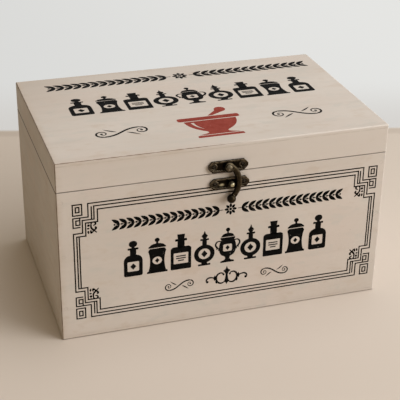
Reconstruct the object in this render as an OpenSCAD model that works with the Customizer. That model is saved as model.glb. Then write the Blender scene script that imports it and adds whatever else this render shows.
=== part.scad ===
// Antique wooden apothecary box: butt-jointed carcase, hinged lid, swing-hook latch.
// Millimetres, +Z up, front towards -Y, origin at the centre of the underside.

/* [Case] */
// Width of the box, left to right
body_w = 280; // [240:1:320]
// Depth of the box, front to back
body_d = 178; // [150:1:210]
// Height of the closed box, floor to top
body_h = 160; // [130:1:200]
// Height of the lid, from the middle of the seam to the top
lid_h = 25; // [20:0.5:45]
// Gap left by the saw between box and lid
seam_gap = 0.5; // [0.3:0.1:1.5]
// Thickness of the upright boards and lid rails
wall_t = 8; // [6:0.5:12]
// Thickness of the top and base panels
panel_t = 3; // [2.5:0.1:5]
// Rounding of the outer arrises
edge_r = 1.2; // [0.5:0.1:2]
// Easing of the outer edges along the seam
seam_ease = 0.4; // [0.2:0.1:0.8]

/* [Brads] */
// Shank diameter of a brad
brad_d = 1.4; // [1:0.1:2]
// Head diameter of a brad
brad_head_d = 2.4; // [2:0.1:3.5]
// Thickness of a brad's head
brad_head_t = 0.8; // [0.5:0.1:1.2]
// Length of a brad, head included
brad_len = 20; // [14:1:26]
// Height of the lowest brad in each corner
brad_z = 30; // [18:1:40]
// Distance of the highest brad below the seam
brad_drop = 9; // [6:0.5:14]
// Number of brads in each corner
brad_count = 3; // [2:1:4]

/* [Latch plates] */
// Length of each latch plate
plate_w = 33.4; // [28:0.2:40]
// Height of each latch plate
plate_h = 9.4; // [8.4:0.1:12]
// How far a plate's raised rim stands off the wood
plate_t = 2; // [1.6:0.1:2.6]
// Thickness of a plate's sunk field
plate_field_t = 1; // [0.8:0.1:1.2]
// Width of a plate's raised rim
plate_rim = 1.2; // [0.8:0.1:1.8]
// Distance between a plate's two screws
plate_screw_gap = 24.4; // [20:0.2:26]
// Upper plate's centre, right of the middle of the box
hook_plate_x = -0.5; // [-4:0.1:4]
// Upper plate's centre above the seam
hook_plate_rise = 6.2; // [5.5:0.1:9]
// Lower plate's centre, right of the middle of the box
catch_plate_x = 1; // [-4:0.1:4]
// Lower plate's centre below the seam
catch_plate_drop = 9.3; // [7:0.1:12]

/* [Hook] */
// Rivet centre, right of the upper plate's centre
pivot_dx = 0.3; // [-1:0.1:1]
// Rivet centre, below the upper plate's centre
pivot_dz = 0.9; // [0:0.1:1]
// Radius of the rivet's shank
rivet_r = 1.5; // [1.2:0.1:1.8]
// Radius of the rivet's head
rivet_head_r = 3; // [2.4:0.1:3.4]
// Height of the rivet's head
rivet_head_t = 1.4; // [1:0.1:2]
// Radius of the hook's round boss
boss_r = 4.4; // [4:0.1:5.5]
// Thickness of the hook's boss
boss_t = 2.5; // [2:0.1:3.5]
// Thickness of the hook's arm
arm_t = 3.2; // [2.4:0.1:4]
// Width of the hook's arm beside the stud
arm_w = 4.9; // [3.8:0.1:6]
// Radius of the ball at the hook's end
ball_r = 3.75; // [3:0.05:4.5]
// Distance of the ball below the rivet
hook_drop = 27.4; // [25.5:0.1:34]
// Distance of the ball right of the rivet
hook_ball_dx = 2.1; // [0:0.1:4]

/* [Catch] */
// Radius of the round stud
stud_r = 3.3; // [2.6:0.1:3.8]
// Radius of the stud's neck
stud_neck_r = 1.8; // [1.4:0.1:2.2]
// How far the stud's top stands off the wood
stud_out = 6.4; // [5.8:0.1:7.5]
// Stud centre, right of the lower plate's centre
stud_dx = 1; // [-1:0.1:1.5]
// Gap between the resting hook and the stud
latch_gap = 0.5; // [0.2:0.05:1]

/* [Hinges] */
// Distance of each hinge's centre from the middle of the box
hinge_x = 85; // [60:1:105]
// Length of a hinge along its pin
hinge_w = 24; // [18:0.5:32]
// Height of one hinge leaf below or above the pin
leaf_h = 10; // [8.5:0.5:13]
// Thickness of a hinge leaf
leaf_t = 1; // [0.8:0.1:1.2]
// Radius of the hinge's knuckles
knuckle_r = 1.8; // [1.6:0.1:2.4]
// Radius of the hinge pin
pin_r = 0.8; // [0.6:0.05:1]
// Distance between a leaf's two screws
leaf_screw_gap = 14; // [11:0.5:18]

/* [Screws] */
// Radius of a screw's shank
screw_r = 0.9; // [0.7:0.05:1.1]
// Length of a screw's shank in the wood
screw_len = 6; // [4:0.5:6.5]
// Radius of a latch screw's domed head
dome_r = 1.9; // [1.6:0.1:2.2]
// Height of a latch screw's domed head
dome_t = 0.85; // [0.6:0.05:0.95]
// Radius of a hinge screw's sunk head
sunk_r = 1.6; // [1.4:0.1:2]
// Width of a screw's slot
slot_w = 0.45; // [0.3:0.05:0.6]

/* [Hidden] */
seam_z = body_h - lid_h;
body_top = seam_z - seam_gap / 2;
lid_low = seam_z + seam_gap / 2;
rail_top = body_h - panel_t;
half_w = body_w / 2;
half_d = body_d / 2;
// running fit, pushed-in fit, and overlap of shapes that are one solid
run = 0.05;
tight = 0.01;
eps = 0.01;
// brads stand in the middle of the side boards' ends
brad_x = half_w - wall_t / 2;
brad_step = (seam_z - brad_drop - brad_z) / (brad_count - 1);
lid_brad_z = (lid_low + rail_top) / 2;
// the latch stands off the front face
pivot_x = hook_plate_x + pivot_dx;
pivot_z = seam_z + hook_plate_rise - pivot_dz;
catch_z = seam_z - catch_plate_drop;
stud_x = catch_plate_x + stud_dx;
// blunt points at the ends of the latch plates
plate_tip = plate_h * 0.14;
plate_cut = plate_h * 0.34;
// ring cut round each screw's seat
seat_in = dome_r + 0.25;
seat_out = dome_r + 1;
seat_deep = 0.3;
screw_play = 0.15;
// the hook turns on a washer, just clear of the plates' rims
washer_r = rivet_r + 1.6;
hook_back = plate_t + 0.2;
washer_t = hook_back - run;
rivet_seat = hook_back + boss_t + run;
dimple_r = 1;
dimple_t = 0.5;
// the arm lies between two circles, in the rivet's frame, and just clears the stud
stud_below = pivot_z - catch_z;
stud_side = stud_x - pivot_x;
arm_in = stud_side + stud_r + latch_gap;
ball_at = [hook_ball_dx, -hook_drop];
out_turn = 50;
out_a = [boss_r * cos(out_turn), boss_r * sin(out_turn)];
out_b = [arm_in + arm_w, -stud_below * 0.8];
out_c = [hook_ball_dx + ball_r + 0.7, ball_r * 0.4 - hook_drop];
in_a = [boss_r * 0.95, -boss_r * 1.32];
in_b = [arm_in, -stud_below];
in_c = [hook_ball_dx + ball_r * 0.24, ball_r * 0.87 - hook_drop];
// rounding of the hook's front edges
crown = 1.3;
// hinges stand off the back face
knuckle_off = knuckle_r + 0.1;
axis_y = half_d + knuckle_off;
knuckle_gap = 0.25;
knuckle_w = hinge_w / 3;
leaf_screw_z = knuckle_r + (leaf_h - knuckle_r) * 0.55;
sunk_t = leaf_t * 0.75;
sunk_proud = 0.25;
sunk_play = 0.1;
slot_deep = 0.5;
pin_head = 0.7;

// Frames on the front and back faces

// local x right, y up, z out of the front face
module on_front(x, z) {
  translate([x, -half_d, z])
    rotate([90, 0, 0])
      children();
}

// local x left, y up, z out of the back face
module on_back(x, z) {
  translate([x, half_d, z])
    rotate([90, 0, 180])
      children();
}

// Boards, panels and brads

// rounded plan of the box
module plan() {
  square([body_w, body_d - 2 * edge_r], center = true);
  square([body_w - 2 * edge_r, body_d], center = true);
  for (sx = [-1, 1])
    for (sy = [-1, 1])
      translate([sx * (half_w - edge_r), sy * (half_d - edge_r)])
        circle(r = edge_r, $fn = 32);
}

// upright profile standing on y = 0: rounded at the foot, eased at the top
module profile(w, h) {
  difference() {
    union() {
      translate([-w / 2, edge_r])
        square([w, h - edge_r]);
      translate([-w / 2 + edge_r, 0])
        square([w - 2 * edge_r, h]);
      for (s = [-1, 1])
        translate([s * (w / 2 - edge_r), edge_r])
          circle(r = edge_r, $fn = 32);
    }
    for (s = [-1, 1])
      translate([s * w / 2, h])
        rotate(45)
          square(seam_ease * sqrt(2), center = true);
  }
}

// block of the given height, standing on z = 0, with the outside's rounding and easing
module outer_form(h) {
  intersection() {
    linear_extrude(height = h)
      plan();
    translate([0, half_d, 0])
      rotate([90, 0, 0])
        linear_extrude(height = body_d)
          profile(body_w, h);
    translate([-half_w, 0, 0])
      rotate([90, 0, 90])
        linear_extrude(height = body_w)
          profile(body_d, h);
  }
}

// outside of the box below the seam
module body_form() {
  outer_form(body_top);
}

// outside of the lid
module lid_form() {
  translate([0, 0, body_h])
    mirror([0, 0, 1])
      outer_form(body_h - lid_low);
}

// slab between two heights across the front (-1) or back (1)
module cross_slab(side, z0, z1) {
  translate([-half_w, side < 0 ? -half_d : half_d - wall_t, z0])
    cube([body_w, wall_t, z1 - z0]);
}

// slab between two heights along the left (-1) or right (1), between the cross boards
module end_slab(side, z0, z1) {
  translate([side < 0 ? -half_w : half_w - wall_t, wall_t - half_d, z0])
    cube([wall_t, body_d - 2 * wall_t, z1 - z0]);
}

// one brad driven in from the face, local z out
module brad(grow) {
  translate([0, 0, -brad_len])
    cylinder(r = brad_d / 2 + grow, h = brad_len, $fn = 24);
  translate([0, 0, -brad_head_t - grow])
    cylinder(r = brad_head_d / 2 + grow, h = brad_head_t + grow, $fn = 24);
}

module body_brad_set(grow) {
  for (s = [-1, 1])
    for (i = [0 : brad_count - 1]) {
      on_front(s * brad_x, brad_z + i * brad_step)
        brad(grow);
      on_back(s * brad_x, brad_z + i * brad_step)
        brad(grow);
    }
}

module lid_brad_set(grow) {
  for (s = [-1, 1]) {
    on_front(s * brad_x, lid_brad_z)
      brad(grow);
    on_back(s * brad_x, lid_brad_z)
      brad(grow);
  }
}

module front_board() {
  color("tan")
    difference() {
      intersection() {
        body_form();
        cross_slab(-1, panel_t, body_top);
      }
      body_brad_set(tight);
      catch_screw_set(tight);
    }
}

module back_board() {
  color("tan")
    difference() {
      intersection() {
        body_form();
        cross_slab(1, panel_t, body_top);
      }
      body_brad_set(tight);
      hinge_screw_set(-1, tight);
    }
}

module left_board() {
  color("tan")
    difference() {
      intersection() {
        body_form();
        end_slab(-1, panel_t, body_top);
      }
      body_brad_set(tight);
    }
}

module right_board() {
  color("tan")
    difference() {
      intersection() {
        body_form();
        end_slab(1, panel_t, body_top);
      }
      body_brad_set(tight);
    }
}

module base_panel() {
  color("tan")
    intersection() {
      body_form();
      translate([-half_w, -half_d, 0])
        cube([body_w, body_d, panel_t]);
    }
}

module body_brads() {
  color("silver")
    body_brad_set(0);
}

module lid_panel() {
  color("tan")
    intersection() {
      lid_form();
      translate([-half_w, -half_d, rail_top])
        cube([body_w, body_d, panel_t]);
    }
}

module lid_front_rail() {
  color("tan")
    difference() {
      intersection() {
        lid_form();
        cross_slab(-1, lid_low, rail_top);
      }
      lid_brad_set(tight);
      hook_screw_set(tight);
    }
}

module lid_back_rail() {
  color("tan")
    difference() {
      intersection() {
        lid_form();
        cross_slab(1, lid_low, rail_top);
      }
      lid_brad_set(tight);
      hinge_screw_set(1, tight);
    }
}

module lid_left_rail() {
  color("tan")
    difference() {
      intersection() {
        lid_form();
        end_slab(-1, lid_low, rail_top);
      }
      lid_brad_set(tight);
    }
}

module lid_right_rail() {
  color("tan")
    difference() {
      intersection() {
        lid_form();
        end_slab(1, lid_low, rail_top);
      }
      lid_brad_set(tight);
    }
}

module lid_brads() {
  color("silver")
    lid_brad_set(0);
}

// Latch on the front

// long plate outline with blunt pointed ends
module plate_outline(inset) {
  w = plate_w / 2 - inset;
  h = plate_h / 2 - inset;
  polygon([
    [-w, -plate_tip], [-w + plate_cut, -h], [w - plate_cut, -h], [w, -plate_tip],
    [w, plate_tip], [w - plate_cut, h], [-w + plate_cut, h], [-w, plate_tip]
  ]);
}

// domed screw head, flat side at z = 0
module dome_head() {
  ball = (dome_r * dome_r + dome_t * dome_t) / (2 * dome_t);
  difference() {
    intersection() {
      translate([0, 0, dome_t - ball])
        sphere(r = ball, $fn = 48);
      cylinder(r = dome_r + 1, h = dome_t + 1, $fn = 48);
    }
    translate([-dome_r - 1, -slot_w / 2, dome_t - slot_deep])
      cube([2 * dome_r + 2, slot_w, 1]);
  }
}

// screw through a latch plate, local z = 0 at the wood
module plate_screw(grow) {
  translate([0, 0, -screw_len - grow])
    cylinder(r = screw_r + grow, h = screw_len + plate_field_t + grow + eps, $fn = 24);
}

module hook_screw_set(grow) {
  for (s = [-1, 1])
    on_front(hook_plate_x + s * plate_screw_gap / 2, seam_z + hook_plate_rise)
      plate_screw(grow);
}

module catch_screw_set(grow) {
  for (s = [-1, 1])
    on_front(catch_plate_x + s * plate_screw_gap / 2, catch_z)
      plate_screw(grow);
}

// plate with a raised rim, a ringed seat round each screw and its two screw holes
module latch_plate() {
  difference() {
    linear_extrude(height = plate_t)
      plate_outline(0);
    difference() {
      translate([0, 0, plate_field_t])
        linear_extrude(height = plate_t)
          plate_outline(plate_rim);
      for (s = [-1, 1])
        translate([s * plate_screw_gap / 2, 0, 0])
          difference() {
            cylinder(r = seat_out, h = plate_t - seat_deep, $fn = 40);
            cylinder(r = seat_in, h = plate_t, $fn = 40);
          }
    }
    for (s = [-1, 1])
      translate([s * plate_screw_gap / 2, 0, -1])
        cylinder(r = screw_r + screw_play, h = plate_t + 2, $fn = 24);
  }
}

module hook_plate() {
  color("dimgray")
    on_front(hook_plate_x, seam_z + hook_plate_rise)
      difference() {
        union() {
          latch_plate();
          translate([pivot_dx, -pivot_dz, 0])
            cylinder(r = washer_r, h = washer_t, $fn = 48);
        }
        translate([pivot_dx, -pivot_dz, -1])
          cylinder(r = rivet_r + tight, h = washer_t + 2, $fn = 48);
      }
}

module hook_rivet() {
  ball = (rivet_head_r * rivet_head_r + rivet_head_t * rivet_head_t) / (2 * rivet_head_t);
  color("peru")
    on_front(pivot_x, pivot_z)
      difference() {
        union() {
          cylinder(r = rivet_r, h = rivet_seat + eps, $fn = 48);
          intersection() {
            translate([0, 0, rivet_seat + rivet_head_t - ball])
              sphere(r = ball, $fn = 64);
            translate([0, 0, rivet_seat])
              cylinder(r = rivet_head_r + 1, h = rivet_head_t + 1, $fn = 48);
          }
        }
        translate([0, 0, rivet_seat + rivet_head_t - dimple_t])
          cylinder(r1 = dimple_r * 0.4, r2 = dimple_r, h = dimple_t + eps, $fn = 32);
      }
}

// circle through three points: [centre x, centre y, radius]
function cross3(a, b, c) = a[0] * (b[1] - c[1]) + b[0] * (c[1] - a[1]) + c[0] * (a[1] - b[1]);
function circle_x(a, b, c) =
  ((a * a) * (b[1] - c[1]) + (b * b) * (c[1] - a[1]) + (c * c) * (a[1] - b[1])) / (2 * cross3(a, b, c));
function circle_y(a, b, c) =
  ((a * a) * (c[0] - b[0]) + (b * b) * (a[0] - c[0]) + (c * c) * (b[0] - a[0])) / (2 * cross3(a, b, c));
function circle_r(a, b, c) = norm(a - [circle_x(a, b, c), circle_y(a, b, c)]);

// round slab whose front edge is crowned, e negative for the void inside a ring
module crowned_disc(r, t, e) {
  rise = t * 0.6;
  rotate_extrude($fn = 180)
    polygon(concat(
      [[0, 0], [r, 0]],
      [for (a = [0 : 22.5 : 90]) [r - e + e * cos(a), t - rise + rise * sin(a)]],
      [[0, t]]
    ));
}

// arm: outer disc less inner disc, kept right of the line from rivet to ball
module hook_arm() {
  intersection() {
    difference() {
      translate([circle_x(out_a, out_b, out_c), circle_y(out_a, out_b, out_c), 0])
        crowned_disc(circle_r(out_a, out_b, out_c), arm_t, crown);
      translate([circle_x(in_a, in_b, in_c), circle_y(in_a, in_b, in_c), 0]) {
        crowned_disc(circle_r(in_a, in_b, in_c), arm_t, -crown);
        translate([0, 0, arm_t - eps])
          cylinder(r = circle_r(in_a, in_b, in_c) + crown, h = 1, $fn = 180);
        translate([0, 0, -1])
          cylinder(r = circle_r(in_a, in_b, in_c), h = 1 + eps, $fn = 180);
      }
    }
    translate([0, 0, -1])
      linear_extrude(height = arm_t + 2)
        polygon([
          [0, 0], 3 * out_a, [4 * boss_r, 2 * boss_r], [4 * boss_r, -1.2 * hook_drop],
          ball_at + 3 * (out_c - ball_at), ball_at
        ]);
  }
}

module latch_hook() {
  color("saddlebrown")
    on_front(pivot_x, pivot_z)
      translate([0, 0, hook_back])
        difference() {
          union() {
            crowned_disc(boss_r, boss_t, crown);
            hook_arm();
            intersection() {
              translate([ball_at[0], ball_at[1], ball_r * 0.6])
                sphere(r = ball_r, $fn = 64);
              translate([ball_at[0] - 2 * ball_r, ball_at[1] - 2 * ball_r, 0])
                cube([4 * ball_r, 4 * ball_r, 4 * ball_r]);
            }
          }
          translate([0, 0, -1])
            cylinder(r = rivet_r + run, h = boss_t + 20, $fn = 56);
          translate([0, 0, boss_t])
            cylinder(r = rivet_head_r + 0.3, h = 20, $fn = 56);
        }
}

module hook_plate_screws() {
  color("dimgray")
    for (s = [-1, 1])
      on_front(hook_plate_x + s * plate_screw_gap / 2, seam_z + hook_plate_rise) {
        plate_screw(0);
        translate([0, 0, plate_field_t])
          rotate([0, 0, 35 + 50 * s])
            dome_head();
      }
}

module catch_plate() {
  color("dimgray")
    on_front(catch_plate_x, catch_z)
      difference() {
        latch_plate();
        translate([stud_dx, 0, -1])
          cylinder(r = stud_neck_r + tight, h = plate_t + 2, $fn = 48);
      }
}

module catch_stud() {
  color("peru")
    on_front(stud_x, catch_z) {
      cylinder(r = stud_neck_r, h = stud_out - stud_r, $fn = 48);
      translate([0, 0, stud_out - stud_r])
        difference() {
          sphere(r = stud_r, $fn = 64);
          translate([-10, -10, -20 - (stud_out - stud_r - plate_field_t - 0.15)])
            cube([20, 20, 20]);
        }
    }
}

module catch_plate_screws() {
  color("dimgray")
    for (s = [-1, 1])
      on_front(catch_plate_x + s * plate_screw_gap / 2, catch_z) {
        plate_screw(0);
        translate([0, 0, plate_field_t])
          rotate([0, 0, 70 - 45 * s])
            dome_head();
      }
}

// Hinges on the back

// pilot holes or shanks, dir -1 below the pin and 1 above it
module hinge_screw_set(dir, grow) {
  for (c = [-1, 1])
    for (s = [-1, 1])
      on_back(c * hinge_x + s * leaf_screw_gap / 2, seam_z + dir * leaf_screw_z)
        translate([0, 0, -screw_len - grow])
          cylinder(r = screw_r + grow, h = screw_len + leaf_t - sunk_t + grow + eps, $fn = 24);
}

// one leaf in the hinge's own frame: x along the pin, y up from the pin, z out of the wood
module leaf(dir, spans, gaps) {
  difference() {
    union() {
      translate([-hinge_w / 2, dir < 0 ? -leaf_h : 0, 0])
        cube([hinge_w, leaf_h, leaf_t]);
      for (k = spans)
        translate([k[0], 0, knuckle_off])
          rotate([0, 90, 0])
            cylinder(r = knuckle_r, h = k[1] - k[0], $fn = 48);
    }
    for (k = gaps)
      translate([k[0], -knuckle_r - knuckle_gap, -1])
        cube([k[1] - k[0], 2 * (knuckle_r + knuckle_gap), 3 * knuckle_r + 2]);
    for (s = [-1, 1])
      translate([s * leaf_screw_gap / 2, dir * leaf_screw_z, 0]) {
        translate([0, 0, -1])
          cylinder(r = screw_r + sunk_play, h = leaf_t + 2, $fn = 24);
        translate([0, 0, leaf_t - sunk_t])
          cylinder(r1 = screw_r + sunk_play, r2 = sunk_r + sunk_play, h = sunk_t, $fn = 32);
      }
    translate([-hinge_w, 0, knuckle_off])
      rotate([0, 90, 0])
        cylinder(r = dir < 0 ? pin_r + tight : pin_r + run, h = 2 * hinge_w, $fn = 48);
  }
}

// outer two knuckles belong to the box leaf, the middle one to the lid leaf
module body_leaf() {
  leaf(
    -1,
    [[-hinge_w / 2, -knuckle_w / 2 - knuckle_gap / 2], [knuckle_w / 2 + knuckle_gap / 2, hinge_w / 2]],
    [[-knuckle_w / 2 - knuckle_gap / 2, knuckle_w / 2 + knuckle_gap / 2]]
  );
}

module lid_leaf() {
  leaf(
    1,
    [[-knuckle_w / 2 + knuckle_gap / 2, knuckle_w / 2 - knuckle_gap / 2]],
    [
      [-hinge_w / 2 - 1, -knuckle_w / 2 + knuckle_gap / 2],
      [knuckle_w / 2 - knuckle_gap / 2, hinge_w / 2 + 1]
    ]
  );
}

module hinge_pin() {
  translate([-hinge_w / 2, 0, knuckle_off])
    rotate([0, 90, 0])
      cylinder(r = pin_r, h = hinge_w, $fn = 48);
  for (s = [-1, 1])
    translate([s * hinge_w / 2, 0, knuckle_off])
      rotate([0, s * 90, 0])
        cylinder(r1 = knuckle_r * 0.8, r2 = pin_r, h = pin_head, $fn = 48);
}

module sunk_screw() {
  translate([0, 0, -screw_len])
    cylinder(r = screw_r, h = screw_len + leaf_t - sunk_t + eps, $fn = 24);
  difference() {
    union() {
      translate([0, 0, leaf_t - sunk_t])
        cylinder(r1 = screw_r, r2 = sunk_r, h = sunk_t, $fn = 32);
      translate([0, 0, leaf_t])
        cylinder(r1 = sunk_r, r2 = sunk_r * 0.7, h = sunk_proud, $fn = 32);
    }
    translate([-sunk_r - 1, -slot_w / 2, leaf_t + sunk_proud - slot_deep])
      cube([2 * sunk_r + 2, slot_w, 1]);
  }
}

module left_hinge_body_leaf() {
  color("dimgray")
    on_back(-hinge_x, seam_z)
      body_leaf();
}

module left_hinge_lid_leaf() {
  color("gray")
    on_back(-hinge_x, seam_z)
      lid_leaf();
}

module left_hinge_pin() {
  color("peru")
    on_back(-hinge_x, seam_z)
      hinge_pin();
}

module right_hinge_body_leaf() {
  color("dimgray")
    on_back(hinge_x, seam_z)
      body_leaf();
}

module right_hinge_lid_leaf() {
  color("gray")
    on_back(hinge_x, seam_z)
      lid_leaf();
}

module right_hinge_pin() {
  color("peru")
    on_back(hinge_x, seam_z)
      hinge_pin();
}

module hinge_body_screws() {
  color("dimgray")
    for (c = [-1, 1])
      for (s = [-1, 1])
        on_back(c * hinge_x + s * leaf_screw_gap / 2, seam_z - leaf_screw_z)
          rotate([0, 0, 25 * s + 40 * c])
            sunk_screw();
}

module hinge_lid_screws() {
  color("dimgray")
    for (c = [-1, 1])
      for (s = [-1, 1])
        on_back(c * hinge_x + s * leaf_screw_gap / 2, seam_z + leaf_screw_z)
          rotate([0, 0, 60 * s - 20 * c])
            sunk_screw();
}

front_board();
back_board();
left_board();
right_board();
base_panel();
body_brads();
lid_panel();
lid_front_rail();
lid_back_rail();
lid_left_rail();
lid_right_rail();
lid_brads();
hook_plate();
hook_rivet();
latch_hook();
hook_plate_screws();
catch_plate();
catch_stud();
catch_plate_screws();
left_hinge_body_leaf();
left_hinge_lid_leaf();
left_hinge_pin();
right_hinge_body_leaf();
right_hinge_lid_leaf();
right_hinge_pin();
hinge_body_screws();
hinge_lid_screws();
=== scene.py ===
# Looks of an antique wooden apothecary box: greige paint, black and red print, bronzed latch and hinges.
# Lengths are millimetres in the object's own frame and become metres when a mesh is made.
import math
import bmesh
import bpy
from mathutils import Matrix, Vector
from mathutils.geometry import tessellate_polygon


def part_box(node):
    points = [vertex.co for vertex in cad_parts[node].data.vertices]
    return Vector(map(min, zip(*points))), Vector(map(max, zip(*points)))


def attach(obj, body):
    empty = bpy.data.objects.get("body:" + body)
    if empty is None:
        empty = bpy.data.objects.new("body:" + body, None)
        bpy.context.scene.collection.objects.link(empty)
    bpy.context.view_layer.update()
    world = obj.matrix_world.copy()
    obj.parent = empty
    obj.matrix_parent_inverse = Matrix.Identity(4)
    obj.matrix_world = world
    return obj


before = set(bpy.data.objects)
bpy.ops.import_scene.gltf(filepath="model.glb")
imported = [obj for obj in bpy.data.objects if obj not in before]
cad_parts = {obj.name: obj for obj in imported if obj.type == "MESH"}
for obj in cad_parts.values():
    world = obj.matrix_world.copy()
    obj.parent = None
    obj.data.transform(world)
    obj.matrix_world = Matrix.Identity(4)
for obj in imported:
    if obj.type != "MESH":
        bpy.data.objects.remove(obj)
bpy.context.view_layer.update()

MM = 0.001

# Sizes read from the frame
FRONT_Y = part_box("front_board")[0].y / MM
BACK_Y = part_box("back_board")[1].y / MM
HALF_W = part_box("lid_panel")[1].x / MM
TOP_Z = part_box("lid_panel")[1].z / MM
LID_JOINT_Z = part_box("lid_panel")[0].z / MM
BASE_JOINT_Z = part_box("base_panel")[1].z / MM
SIDE_END_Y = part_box("left_board")[1].y / MM
SEAM_Z = (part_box("front_board")[1].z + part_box("lid_front_rail")[0].z) / 2 / MM
BRAD_X = 136
BRAD_LOW_Z = 30
BRAD_STEP = 48
OUTER_SKIN = 0.8


# Node trees

def plug(tree, socket, value):
    """A constant goes into the socket, and another node's output is linked to it."""
    if isinstance(value, bpy.types.NodeSocket):
        tree.links.new(value, socket)
    elif value is not None:
        socket.default_value = value


def add_node(tree, kind, inputs=(), **settings):
    """A node with its settings, and its inputs by name or number."""
    made = tree.nodes.new(kind)
    for key, value in settings.items():
        setattr(made, key, value)
    for key, value in dict(inputs).items():
        plug(tree, made.inputs[key], value)
    return made


def calc(tree, operation, a, b=None):
    return add_node(tree, "ShaderNodeMath", {0: a, 1: b}, operation=operation).outputs[0]


def ramp(tree, value, low, high, to_low=0.0, to_high=1.0):
    """value from low to high, eased and brought to to_low..to_high."""
    made = add_node(
        tree, "ShaderNodeMapRange",
        {"Value": value, "From Min": low, "From Max": high, "To Min": to_low, "To Max": to_high},
        interpolation_type="SMOOTHSTEP",
    )
    return made.outputs["Result"]


def blend_colours(tree, share, a, b, mode="MIX"):
    made = add_node(tree, "ShaderNodeMix", data_type="RGBA", blend_type=mode)
    plug(tree, made.inputs["Factor"], share)
    plug(tree, made.inputs[6], a)
    plug(tree, made.inputs[7], b)
    return made.outputs[2]


def object_point(tree):
    """The point on the piece, in millimetres, as a vector and as x, y and z."""
    coords = add_node(tree, "ShaderNodeTexCoord").outputs["Object"]
    scaled = add_node(tree, "ShaderNodeVectorMath", {0: coords, "Scale": 1 / MM}, operation="SCALE")
    apart = add_node(tree, "ShaderNodeSeparateXYZ", {0: scaled.outputs[0]})
    return scaled.outputs[0], apart.outputs[0], apart.outputs[1], apart.outputs[2]


def noise(tree, point, size, detail=2.0, rough=0.5, stretch=(1, 1, 1), shift=(0, 0, 0)):
    """Noise with features about size millimetres across, stretched along the axes."""
    scale = [1 / (size * s) for s in stretch]
    mapped = add_node(tree, "ShaderNodeMapping", {"Vector": point, "Location": shift, "Scale": scale})
    made = add_node(
        tree, "ShaderNodeTexNoise",
        {"Vector": mapped.outputs[0], "Scale": 1.0, "Detail": detail, "Roughness": rough},
    )
    return made.outputs["Fac"]


def new_finish(name):
    """A material with a Principled shader: the material, its tree and the shader."""
    finish = bpy.data.materials.new(name)
    finish.use_nodes = True
    tree = finish.node_tree
    tree.nodes.clear()
    shader = add_node(tree, "ShaderNodeBsdfPrincipled")
    end = add_node(tree, "ShaderNodeOutputMaterial")
    tree.links.new(shader.outputs["BSDF"], end.inputs["Surface"])
    return finish, tree, shader


# Finishes

PAINT = (0.558, 0.495, 0.436, 1)
PAINT_PALE = (0.604, 0.542, 0.484, 1)
PAINT_DULL_AND_SHADE = (0.485, 0.420, 0.360, 1)
PAINT_ROSE = (0.598, 0.508, 0.446, 1)
PAINT_COOL = (0.520, 0.490, 0.440, 1)
PAINT_TAN = (0.520, 0.428, 0.345, 1)
WORN_WOOD_AND_SHADE = (0.165, 0.110, 0.072, 1)
ARRIS_HIGHLIGHT = (0.760, 0.720, 0.660, 1)
SEAM_SHADE = (0.072, 0.041, 0.022, 1)
PATINA_AND_SHADE = (0.006, 0.0045, 0.003, 1)
HIGHLIGHT_BRASS = (0.60, 0.53, 0.34, 1)

# places on the latch: the plates' field and rim, its pivot and stud, the hook's outer bow, and the painted
# glint
PLATE_FIELD = 90.1
PLATE_RIM = 90.8
PIVOT = (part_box("hook_rivet")[0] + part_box("hook_rivet")[1]) / 2 / MM
STUD = (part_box("catch_stud")[0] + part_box("catch_stud")[1]) / 2 / MM
HOOK_PLATE_Z = (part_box("hook_plate")[0].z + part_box("hook_plate")[1].z) / 2 / MM
BOW_X, BOW_Z, BOW_R = PIVOT.x - 9.8, PIVOT.z - 13.1, 20.8
PAINTED_GLINT = (STUD.x - 7.4, STUD.z - 1.0, 2.2, 1.3)
RING_STEP = 1.0
STUD_TIP = -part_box("catch_stud")[0].y / MM


def product(tree, *values):
    """The values multiplied together."""
    made = values[0]
    for value in values[1:]:
        made = calc(tree, "MULTIPLY", made, value)
    return made


def reach(tree, u, v):
    """Distance of (u, v) from nothing."""
    return calc(tree, "SQRT", calc(tree, "ADD", product(tree, u, u), product(tree, v, v)))


def hairline(tree, value, at, width):
    """1 on a line where value equals at, falling to 0 at width."""
    away = calc(tree, "ABSOLUTE", calc(tree, "SUBTRACT", value, at))
    return ramp(tree, calc(tree, "DIVIDE", away, width), 0.3, 1, 1, 0)


def edge_distance(tree, x, y, z):
    """Distance from the nearest outer arris: the middle one of the distances to the pairs of faces."""
    to_side = calc(tree, "SUBTRACT", HALF_W, calc(tree, "ABSOLUTE", x))
    to_front = calc(tree, "SUBTRACT", BACK_Y, calc(tree, "ABSOLUTE", y))
    to_end = calc(tree, "MINIMUM", z, calc(tree, "SUBTRACT", TOP_Z, z))
    low = calc(tree, "MINIMUM", to_side, to_front)
    high = calc(tree, "MAXIMUM", to_side, to_front)
    return calc(tree, "MAXIMUM", low, calc(tree, "MINIMUM", high, to_end))


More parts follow.
